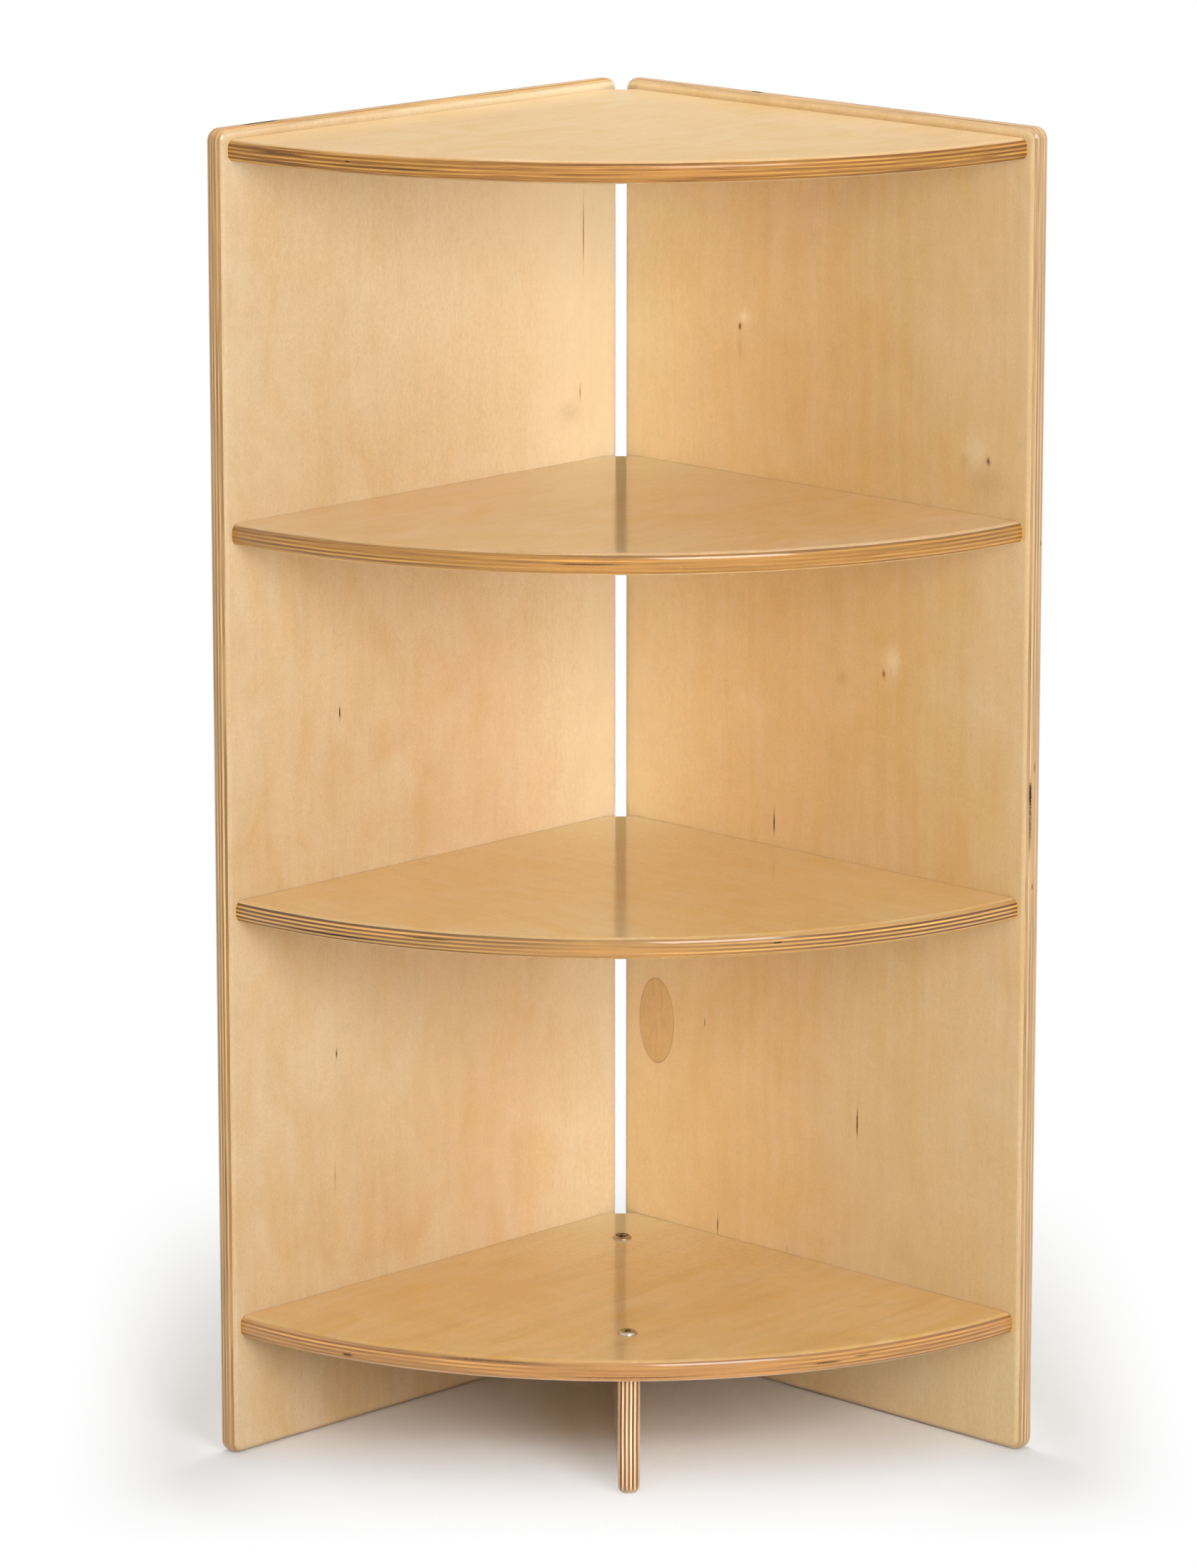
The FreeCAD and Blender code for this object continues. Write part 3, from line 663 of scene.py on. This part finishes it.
# Shelf finishes: the grain's turn in degrees, the strength of the paler corner, which is painted light, and
# the voids seen on the front, each as degrees from the left panel, depth, length, height and strength
shelfLook = {
    "top": {
        "turn": 90.0, "corner": 0.1, "stain": 0.9, "coat": 0.4, "flameDepth": 0.02, "even": 0.5,
        "pale": paint(211, 181, 139), "warm": paint(206, 168, 111),
        "longGrain": paint(210, 156, 78), "endGrain": paint(140, 86, 28),
        "voids": [(7.4, 5.0, 20, 0.9, 0.8), (19, 9, 40, 0.8, 0.6)],
    },
    "upper": {
        "turn": 88.0, "corner": 0.6, "stain": 0.5, "coat": 1.0, "flameDepth": 0.02, "even": 0.7,
        "pale": paint(240, 208, 166), "warm": paint(236, 194, 130),
        "longGrain": paint(206, 152, 66), "endGrain": paint(146, 92, 28),
        "voids": [(40.9, 7.0, 22, 0.45, 0.85)],
    },
    "lower": {
        "turn": 2.0, "corner": 0.6, "stain": 0.3, "coat": 1.0, "flameDepth": 0.02, "even": 0.15,
        "pale": paint(234, 202, 150), "warm": paint(230, 188, 119),
        "longGrain": paint(228, 172, 92), "endGrain": paint(92, 50, 8),
        "voids": [(12.9, 10.5, 32, 0.7, 0.85), (24, 5.5, 16, 0.7, 0.8)],
    },
    "bottom": {
        "turn": 86.0, "corner": 0.6, "stain": 0.4, "coat": 1.0, "flameDepth": 0.06, "even": 0.5,
        "pale": paint(228, 193, 140), "warm": paint(223, 177, 103),
        "longGrain": paint(222, 164, 90), "endGrain": paint(156, 102, 48),
        "voids": [
            (14.4, 10.0, 3.6, 0.8, 1.0),
            (30.7, 2.6, 34, 0.5, 0.8),
            (45, 11.0, 44, 0.5, 0.85),
            (66, 8.5, 9, 0.7, 0.8),
            (70, 6.5, 5, 0.5, 0.7),
        ],
    },
}
# Size of the painted light, a pale straw oval, in each shelf's back corner
paintedCornerLight = 130.0       # millimetres
# Width of the painted shade line where a shelf meets the panels
jointLine = 0.9
for number, level in enumerate(levels):
    look = shelfLook[level]
    turn = math.radians(look["turn"])
    reach = shelfShape["radius"] / mm
    voids = []
    for degrees, *rest in look["voids"]:
        angle = turn + math.radians(degrees)
        voids.append((reach * math.sin(angle), -reach * math.cos(angle), *rest))
    shelfFace = {
        **plainFace, "clouds": 2.2, "bands": 0.9, "speckle": 0.24, "underline": 0.25, **look, "voids": voids,
        "origin": (cornerX, cornerY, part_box(f"{level}_shelf")[1].z), "through": (0, 0, -1),
        "along": (math.cos(turn), -math.sin(turn), 0), "across": (math.sin(turn), math.cos(turn), 0),
        "seed": 31.0 + 13.0 * number,
        # The pale oval in the back corner is painted light
        "marks": [(0, 0, paintedCornerLight, paintedCornerLight, look["corner"], paintedLightStraw)],
        "joints": [((1, 0, 0), jointLine), ((0, -1, 0), jointLine)],
    }
    quarterShelf(level, birchPlywood(f"birch_{level}_shelf", shelfFace))
legFace = {
    **plainFace, "origin": tuple(fromDiagonal(0.0, -boardThickness / 2, 0.0).tolist()),
    "along": (0, 0, 1), "across": (halfRoot, -halfRoot, 0), "through": (halfRoot, halfRoot, 0),
    "seed": 91.0, "pale": paint(226, 184, 134), "warm": paint(206, 160, 106), "stain": 0.15,
    "longGrain": paint(238, 200, 148), "endGrain": paint(112, 64, 28), "even": 0.1,
}
diagonalLeg(birchPlywood("birch_leg", legFace))
patchFace = {
    **rightFace, "seed": 57.0, "pale": paint(218, 184, 134), "warm": paint(208, 168, 110),
    "flames": 7.0, "flameLength": 60.0, "flameWidth": 26.0, "flameDepth": 0.06, "marks": [],
}
veneerPatch(birchPlywood("birch_oval_repair", patchFace))
print("boards made")


# Connector bolts: a profile turned round the bolt's axis; the socket's radius is that of a hexagon
boltShape = {"headRadius": 6.75 * mm, "topRadius": 5.25 * mm, "headHeight": 2.4 * mm, "rim": 0.6 * mm,
             "shankRadius": 3 * mm, "length": 53 * mm, "socketHalf": 2 * mm, "socketDepth": 3 * mm,
             "socketTip": 0.8 * mm, "mouth": 1.28, "ease": 0.35 * mm, "dish": 0.02 * mm,
             "endRadius": 0.02 * mm, "threadLength": 26 * mm, "pitch": 1 * mm, "threadDepth": 0.5 * mm,
             "tipChamfer": 0.8 * mm, "steps": 48, "rowsPerTurn": 6}


# Corners of a profile of radius and height, each cut back and bent round as a quadratic curve
def eased(points, cut, steps=4):
    points = np.array(points)
    before = points[:-2] - points[1:-1]
    after = points[2:] - points[1:-1]
    first = np.minimum(cut / np.linalg.norm(before, axis=1), 0.45)[:, None] * before
    second = np.minimum(cut / np.linalg.norm(after, axis=1), 0.45)[:, None] * after
    t = np.linspace(0, 1, steps + 1)[None, :, None]
    bend = points[1:-1, None] + first[:, None] * (1 - t) ** 2 + second[:, None] * t ** 2
    return np.concatenate([points[:1], bend.reshape(-1, 2), points[-1:]])


def boltSurface():
    shape = boltShape
    turn = np.linspace(0, 2 * math.pi, shape["steps"], endpoint=False)
    flat = (turn + math.pi / 6) % (math.pi / 3) - math.pi / 6
    hexagon = shape["socketHalf"] / np.cos(flat)
    top = shape["headHeight"]
    foot = top - shape["socketDepth"]
    tip = shape["socketTip"]
    socketRows = [(0.02, foot - tip), (0.6, foot - tip / 2), (1.0, foot), (1.0, top - shape["ease"])]
    radii = [share * hexagon for share, height in socketRows]
    heights = [np.full_like(turn, height) for share, height in socketRows]
    head = eased([
        (shape["socketHalf"] * shape["mouth"], top - shape["dish"]),
        (shape["topRadius"], top),
        (shape["headRadius"], shape["rim"]),
        (shape["headRadius"], 0.0),
        (shape["shankRadius"], 0.0),
        (shape["shankRadius"], -(shape["length"] - shape["threadLength"])),
    ], shape["ease"])
    radii += [np.full_like(turn, radius) for radius, height in head]
    heights += [np.full_like(turn, height) for radius, height in head]
    turns = shape["threadLength"] / shape["pitch"]
    down = np.linspace(0, 1, int(turns * shape["rowsPerTurn"]) + 1)[1:, None]
    height = -shape["length"] + shape["threadLength"] * (1 - down)
    saw = (height / shape["pitch"] - turn / (2 * math.pi)) % 1.0
    groove = 1 - np.abs(2 * saw - 1)
    fade = np.minimum(down * turns / 2, 1.0)
    thread = shape["shankRadius"] - shape["threadDepth"] * groove * fade
    chamfer = np.minimum(0.0, height + shape["length"] - shape["tipChamfer"])
    end = np.full((1, len(turn)), shape["endRadius"])
    radii = np.concatenate([np.stack(radii), thread + chamfer, end])
    heights = np.concatenate([np.stack(heights), np.broadcast_to(height, thread.shape),
                              np.full((1, len(turn)), -shape["length"])])
    return radii * np.cos(turn), radii * np.sin(turn), heights


# Two bolts in a piece: each surface is set with its axis along outward, its head's foot on the board
def boltPair(name, node, feet, outward, finish):
    outward = np.array(outward)
    first = np.array([0.0, 0.0, 1.0]) if outward[2] == 0 else np.array([1.0, 0.0, 0.0])
    second = np.cross(outward, first)
    x, y, height = (part[..., None] for part in boltSurface())
    solid = Solid()
    for foot in feet:
        grid = np.array(foot) + x * first + y * second + height * outward
        solid.rings(grid)
        solid.cap(grid[0])
        solid.cap(grid[-1])
    solid.make(name, finish, [node], 40)


# Plated metals: clouds from bright to dull and a fine grain, each with its size in millimetres
plateLook = {
    "nickel_plate": {
        "bright": paint(206, 194, 174), "dull": paint(172, 160, 140), "contrast": 1.0,
        "cloud": 3.5, "cloudDetail": 3.0, "grain": 0.35, "grainDetail": 2.0, "grainRoughness": 0.7,
        "roughness": 0.2, "byCloud": 0.16, "byGrain": 0.08, "bump": 0.15, "bumpDepth": 0.05 * mm,
    },
    "zinc_plate": {
        "bright": paint(190, 192, 194), "dull": paint(168, 166, 160), "contrast": 1.6,
        "cloud": 5.0, "cloudDetail": 2.0, "grain": 1.4, "grainDetail": 3.0, "grainRoughness": 0.6,
        "roughness": 0.38, "byCloud": 0.0, "byGrain": 0.3, "bump": 0.2, "bumpDepth": 0.06 * mm,
    },
}


def metalPlate(name):
    look = plateLook[name]
    f = Finish(bpy.data.materials.new(name))
    place = f.scaled(f.coordinates("Object"), 1 / mm)
    cloud = f.noise(f.scaled(place, 1 / look["cloud"]), look["cloudDetail"]) - 0.5
    grain = f.noise(f.scaled(place, 1 / look["grain"]), look["grainDetail"], look["grainRoughness"]) - 0.5
    colour = f.mix(cloud * look["contrast"] + 0.5, look["bright"], look["dull"])
    rough = look["roughness"] + cloud * look["byCloud"] + grain * look["byGrain"]
    inputs = {"Base Color": colour, "Metallic": 1.0, "Roughness": rough}
    return f.surface(grain, look["bump"], look["bumpDepth"], inputs)


nickel = metalPlate("nickel_plate")
zinc = metalPlate("zinc_plate")
head = boltShape["headRadius"]
for level in levels:
    low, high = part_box(f"{level}_left_bolts")
    up = (low.z + high.z) / 2
    feet = [(leftLow.x, y, up) for y in (low.y + head, high.y - head)]
    boltPair(f"{level}_left_bolt_pair", f"{level}_left_bolts", feet, (-1, 0, 0), nickel)
    low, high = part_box(f"{level}_right_bolts")
    feet = [(x, rightHigh.y, up) for x in (low.x + head, high.x - head)]
    boltPair(f"{level}_right_bolt_pair", f"{level}_right_bolts", feet, (0, 1, 0), nickel)
low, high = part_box("leg_bolts")
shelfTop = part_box("bottom_shelf")[1].z
feet = [(low.x + head, high.y - head, shelfTop), (high.x - head, low.y + head, shelfTop)]
boltPair("leg_bolt_pair", "leg_bolts", feet, (0, 0, 1), nickel)
print("bolts made")


# Fluted dowels: the radius dips in shallow flutes and tapers at both ends
dowelShape = {"radius": 4 * mm, "flutes": 18, "fluteDepth": 0.22 * mm, "chamfer": 1 * mm, "steps": 144}


def dowelPin(name, node, finish):
    shape = dowelShape
    low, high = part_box(node)
    axis = 0 if high.x - low.x > high.y - low.y else 1
    outward = np.eye(3)[axis]
    middle = np.array((low + high) / 2)
    length = (high - low)[axis]
    along = np.array([-0.5, -0.5, 0.5, 0.5]) * length
    along += np.array([0, 1, -1, 0]) * shape["chamfer"]
    turn = np.linspace(0, 2 * math.pi, shape["steps"], endpoint=False)
    flute = shape["fluteDepth"] * np.maximum(0, np.cos(shape["flutes"] * turn))
    taper = np.array([1, 0, 0, 1])[:, None] * shape["chamfer"]
    radius = shape["radius"] - flute - taper
    ring = radius[..., None] * (np.cos(turn)[:, None] * np.cross(outward, [0, 0, 1.0])
                                + np.sin(turn)[:, None] * np.array([0, 0, 1.0]))
    grid = middle + ring + along[:, None, None] * outward
    solid = Solid()
    solid.rings(grid)
    solid.cap(grid[0])
    solid.cap(grid[-1])
    solid.make(name, finish, [node])


dowelLook = {"pale": paint(228, 192, 142), "warm": paint(205, 164, 112), "fibre": 0.8, "band": 6.0,
             "contrast": 1.6, "fibreTone": 0.3, "roughness": 0.62, "byFibre": 0.2,
             "bump": 0.3, "bumpDepth": 0.1 * mm}


def dowelBirch():
    look = dowelLook
    f = Finish(bpy.data.materials.new("dowel_birch"))
    place = f.scaled(f.coordinates("Object"), 1 / mm)
    fibre = f.noise(f.scaled(place, 1 / look["fibre"]), 2.0, 0.7) - 0.5
    band = f.noise(f.scaled(place, 1 / look["band"])) - 0.5
    colour = f.mix(band * look["contrast"] + 0.5, look["pale"], look["warm"])
    colour = f.scaled(colour, 1.0 + fibre * look["fibreTone"])
    rough = look["roughness"] + fibre * look["byFibre"]
    inputs = {"Base Color": colour, "Roughness": rough, "Specular IOR Level": 0.3}
    return f.surface(fibre, look["bump"], look["bumpDepth"], inputs)


dowelFinish = dowelBirch()
for level in levels:
    for side in sides:
        dowelPin(f"{level}_{side}_fluted_dowel", f"{level}_{side}_dowel", dowelFinish)
for holder in [f"{level}_{side}" for level in levels for side in sides] + ["leg"]:
    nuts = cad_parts[f"{holder}_barrel_nuts"].data
    nuts.materials.clear()
    nuts.materials.append(zinc)
print("dowels and nuts finished")


# Floor: matt, with painted light and shadow in its colour, paler and bluer near the unit and a greyer ring
# round it;
# white to the eye further out and keeping the shadow round the unit
floorLook = {"radius": 40.0, "rings": 60, "steps": 96, "near": paint(248, 251, 255),
             "colour": paint(209, 210, 210), "paintedShadowRing": (0.22, 0.32), "whiteAround": (0.33, 0.8),
             "whiteInFront": (-0.06, 0.22), "whiteBeside": (0.28, 0.4), "grain": 40.0, "grainTone": 0.01}


# 1 for the rays that see: from the camera, off a polish or through glass
def seenRays(f):
    camera = f.node("ShaderNodeLightPath", None, None, "Is Camera Ray")
    glossy = f.node("ShaderNodeLightPath", None, None, "Is Glossy Ray")
    clear = f.node("ShaderNodeLightPath", None, None, "Is Transmission Ray")
    return camera.most(glossy).most(clear)


def studioFloor():
    look = floorLook
    spread = np.linspace(0, 1, look["rings"])[1:, None] ** 2 * look["radius"]
    turn = np.linspace(0, -2 * math.pi, look["steps"], endpoint=False)
    grid = np.stack([spread * np.cos(turn), spread * np.sin(turn), np.zeros((len(spread), len(turn)))], -1)
    solid = Solid()
    solid.rings(grid)
    solid.cap(grid[0][::-1])
    mesh = bpy.data.meshes.new("studio_floor")
    mesh.from_pydata(np.concatenate(solid.points).tolist(), [], solid.faces)
    f = Finish(bpy.data.materials.new("studio_floor"))
    place = f.coordinates("Object")
    distance = f.vector("LENGTH", place, output="Value")
    grain = f.noise(f.scaled(place, look["grain"])) - 0.5
    forward = f.reach(place, (halfRoot, -halfRoot, 0))
    beside = abs(f.reach(place, (halfRoot, halfRoot, 0)))
    # Painted light near the unit, and a painted shadow ring beyond it
    colour = f.mix(distance.step(*look["paintedShadowRing"]), look["near"], look["colour"])
    colour = f.scaled(colour, 1.0 + grain * look["grainTone"])
    matt = f.node("ShaderNodeBsdfDiffuse", None, {"Color": colour})
    white = f.node("ShaderNodeEmission", None, {"Color": (1, 1, 1, 1), "Strength": 1.0})
    grey = (1.0 - distance.step(*look["whiteAround"])) * (1.0 - forward.step(*look["whiteInFront"]))
    far = 1.0 - grey * (1.0 - beside.step(*look["whiteBeside"]))
    top = f.node("ShaderNodeMixShader", None, {0: far * seenRays(f), 1: matt, 2: white})
    below = f.node("ShaderNodeNewGeometry", None, None, "Backfacing")
    clear = f.node("ShaderNodeBsdfTransparent")
    both = f.node("ShaderNodeMixShader", None, {0: below, 1: top, 2: clear})
    f.node("ShaderNodeOutputMaterial", None, {"Surface": both})
    mesh.materials.append(f.owner)
    floor = bpy.data.objects.new("studio_floor", mesh)
    bpy.context.scene.collection.objects.link(floor)


studioFloor()

# Studio light: a soft room, dimmer near the horizon; soft boxes in front, above and behind that give light
# and no highlight, a narrow one into the corner, and one that gives highlights alone
roomLook = {"horizon": 0.08, "zenith": 0.75, "tint": (1, 0.985, 0.965, 1)}
lamps = {
    "key_soft_box": {
        "place": (2.93, -1.11, 1.35), "aim": (0.0, 0.0, 0.45), "size": (1.5, 1.5),
        "watts": 71.0, "glossy": False,
    },
    "fill_soft_box": {
        "place": (0.77, -3.03, 1.35), "aim": (0.0, 0.0, 0.45), "size": (1.5, 1.5),
        "watts": 15.0, "glossy": False,
    },
    "corner_strip_box": {
        "place": (4.2, -4.2, 0.85), "aim": (-0.18, 0.18, 0.5), "size": (0.2, 1.2),
        "watts": 0.22, "glossy": False, "spread": 2.2,
    },
    "top_soft_box": {
        "place": (-0.3, 0.3, 2.7), "aim": (-0.1, 0.1, 0.9), "size": (0.8, 0.8),
        "watts": 28.0, "glossy": False,
    },
    "back_left_soft_box": {
        "place": (-3.2, 0.5, 0.75), "aim": (-0.2, 0.0, 0.45), "size": (1.6, 1.2),
        "watts": 34.0, "glossy": False,
    },
    "back_right_soft_box": {
        "place": (-0.5, 3.2, 0.75), "aim": (0.0, 0.2, 0.45), "size": (1.6, 1.2),
        "watts": 26.0, "glossy": False,
    },
    "sheen_soft_box": {
        "place": (2.3, -0.9, 2.4), "aim": (0.0, 0.0, 0.6), "size": (1.4, 1.4),
        "watts": 60.0, "diffuse": False,
    },
}


def studioRoom():
    world = bpy.data.worlds.new("studio_room")
    bpy.context.scene.world = world
    f = Finish(world)
    up = f.node("ShaderNodeSeparateXYZ", None, {0: f.coordinates("Generated")}, 2)
    level = roomLook["horizon"] + up.step(0.0, 1.0) * (roomLook["zenith"] - roomLook["horizon"])
    sky = f.node("ShaderNodeBackground", None, {"Color": roomLook["tint"], "Strength": level})
    white = f.node("ShaderNodeBackground", None, {"Color": (1, 1, 1, 1), "Strength": 1.0})
    both = f.node("ShaderNodeMixShader", None, {0: seenRays(f), 1: sky, 2: white})
    f.node("ShaderNodeOutputWorld", None, {"Surface": both})


# Flag close behind the unit, dark and narrow at the slot, wide and paler above it. It is seen in the polish
# of the shelves and not by the camera.
flagLook = {"behind": 0.15, "halfWidths": (0.06, 0.06, 0.7, 0.7), "heights": (0.05, 0.88, 0.93, 1.6),
            "colour": paint(60, 48, 36), "above": paint(190, 180, 165), "weave": 400.0, "weaveTone": 0.4}


def darkFlag():
    look = flagLook
    sideways = np.array(look["halfWidths"])[:, None] * np.array([-1.0, 1.0])
    grid = fromDiagonal(-look["behind"], sideways, np.array(look["heights"])[:, None])
    mesh = bpy.data.meshes.new("dark_flag")
    mesh.from_pydata(grid.reshape(-1, 3).tolist(), [], [[0, 1, 3, 2], [4, 5, 7, 6]])
    f = Finish(bpy.data.materials.new("dark_flag"))
    weave = f.noise(f.scaled(f.coordinates("Object"), look["weave"])) - 0.5
    up = f.reach(f.coordinates("Object"), (0, 0, 1))
    colour = f.mix(up.step(*look["heights"][1:3]), look["colour"], look["above"])
    colour = f.scaled(colour, 1.0 + weave * look["weaveTone"])
    cloth = f.node("ShaderNodeBsdfDiffuse", None, {"Color": colour})
    f.node("ShaderNodeOutputMaterial", None, {"Surface": cloth})
    mesh.materials.append(f.owner)
    flag = bpy.data.objects.new("dark_flag", mesh)
    flag.visible_camera = False
    flag.visible_diffuse = False
    flag.visible_shadow = False
    bpy.context.scene.collection.objects.link(flag)


def softBox(name, lamp):
    light = bpy.data.lights.new(name, "AREA")
    light.shape = "RECTANGLE"
    light.size, light.size_y = lamp["size"]
    light.energy = lamp["watts"]
    light.spread = math.radians(lamp.get("spread", 180.0))
    box = bpy.data.objects.new(name, light)
    box.location = lamp["place"]
    box.visible_glossy = lamp.get("glossy", True)      # off: the lamp gives light and no highlight
    box.visible_diffuse = lamp.get("diffuse", True)    # off: highlights alone
    box.rotation_euler = (Vector(lamp["aim"]) - Vector(lamp["place"])).to_track_quat("-Z", "Y").to_euler()
    bpy.context.scene.collection.objects.link(box)


studioRoom()
darkFlag()
for name, lamp in lamps.items():
    softBox(name, lamp)
print("floor and light made")

# Camera: high in front of the open corner, a long lens
cameraLook = {"place": (3.4269, -3.5460, 1.5829), "turn": 0.7722, "tilt": 0.2222, "lens": 172.21,
              "sensor": 36.0, "farthest": 200.0}
camera = bpy.data.cameras.new("camera")
camera.sensor_width = cameraLook["sensor"]
camera.lens = cameraLook["lens"]
camera.clip_end = cameraLook["farthest"]
eye = bpy.data.objects.new("camera", camera)
eye.location = cameraLook["place"]
eye.rotation_euler = (math.pi / 2 - cameraLook["tilt"], 0.0, cameraLook["turn"])
bpy.context.scene.collection.objects.link(eye)
bpy.context.scene.camera = eye
bpy.context.scene.view_settings.view_transform = "Standard"
